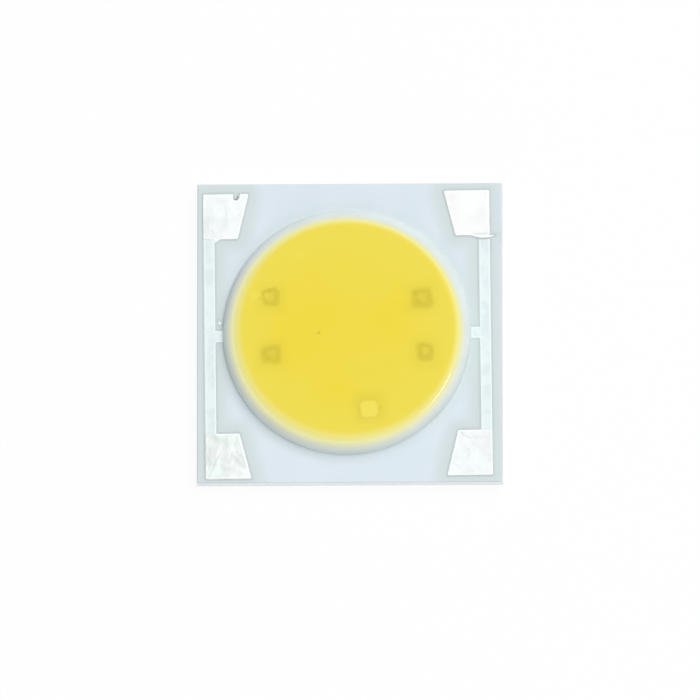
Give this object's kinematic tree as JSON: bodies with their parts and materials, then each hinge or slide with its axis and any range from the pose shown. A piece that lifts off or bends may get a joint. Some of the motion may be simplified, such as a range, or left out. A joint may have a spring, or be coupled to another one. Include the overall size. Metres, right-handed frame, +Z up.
{
  "type": "cob led",
  "caption": "Flat square ceramic chip-on-board LED: round yellow light window inside a white silicone dam, with silver solder pads in the corners joined by printed conductors.",
  "frame": {"origin": "middle of the ceramic plate's underside", "axes": "+Z up through the light window, +X and +Y along the plate's edges, -Y towards the regulator die"},
  "size_m": [0.014, 0.014, 0.0012],
  "materials": {
    "alumina": "matt white alumina",
    "printed_silver": "fired silver print",
    "tinned_solder": "bright, slightly crinkled tinning",
    "white_silicone": "satin white silicone",
    "phosphor_gel": "soft yellow phosphor silicone",
    "sapphire_die": "clear die on sapphire",
    "silicon_die": "polished silicon",
    "gold_wire": "bright gold wire"
  },
  "bodies": {
    "root": {"ceramic_plate": "alumina", "index_mark": "printed_silver", "led_bond_wires": "gold_wire", "led_die_01": "sapphire_die", "led_die_02": "sapphire_die", "led_die_03": "sapphire_die", "led_die_04": "sapphire_die", "led_die_05": "sapphire_die", "led_die_06": "sapphire_die", "led_die_07": "sapphire_die", "led_die_08": "sapphire_die", "led_die_09": "sapphire_die", "led_die_10": "sapphire_die", "led_die_11": "sapphire_die", "led_die_12": "sapphire_die", "led_die_13": "sapphire_die", "led_die_14": "sapphire_die", "led_die_15": "sapphire_die", "led_die_16": "sapphire_die", "led_die_17": "sapphire_die", "led_die_18": "sapphire_die", "led_die_19": "sapphire_die", "led_die_20": "sapphire_die", "led_die_21": "sapphire_die", "led_die_22": "sapphire_die", "led_die_23": "sapphire_die", "led_die_24": "sapphire_die", "led_die_25": "sapphire_die", "led_die_26": "sapphire_die", "led_die_27": "sapphire_die", "led_die_28": "sapphire_die", "led_die_29": "sapphire_die", "led_die_30": "sapphire_die", "left_conductor": "printed_silver", "negative_rail": "printed_silver", "phosphor_gel": "phosphor_gel", "positive_rail": "printed_silver", "rectifier_bond_wires": "gold_wire", "rectifier_die_lower_left": "silicon_die", "rectifier_die_lower_right": "silicon_die", "rectifier_die_upper_left": "silicon_die", "rectifier_die_upper_right": "silicon_die", "regulator_bond_wire": "gold_wire", "regulator_die": "silicon_die", "right_conductor": "printed_silver", "silicone_dam": "white_silicone", "solder_pad_lower_left": "tinned_solder", "solder_pad_lower_right": "tinned_solder", "solder_pad_upper_left": "tinned_solder", "solder_pad_upper_right": "tinned_solder"}
  },
  "joints": []
}
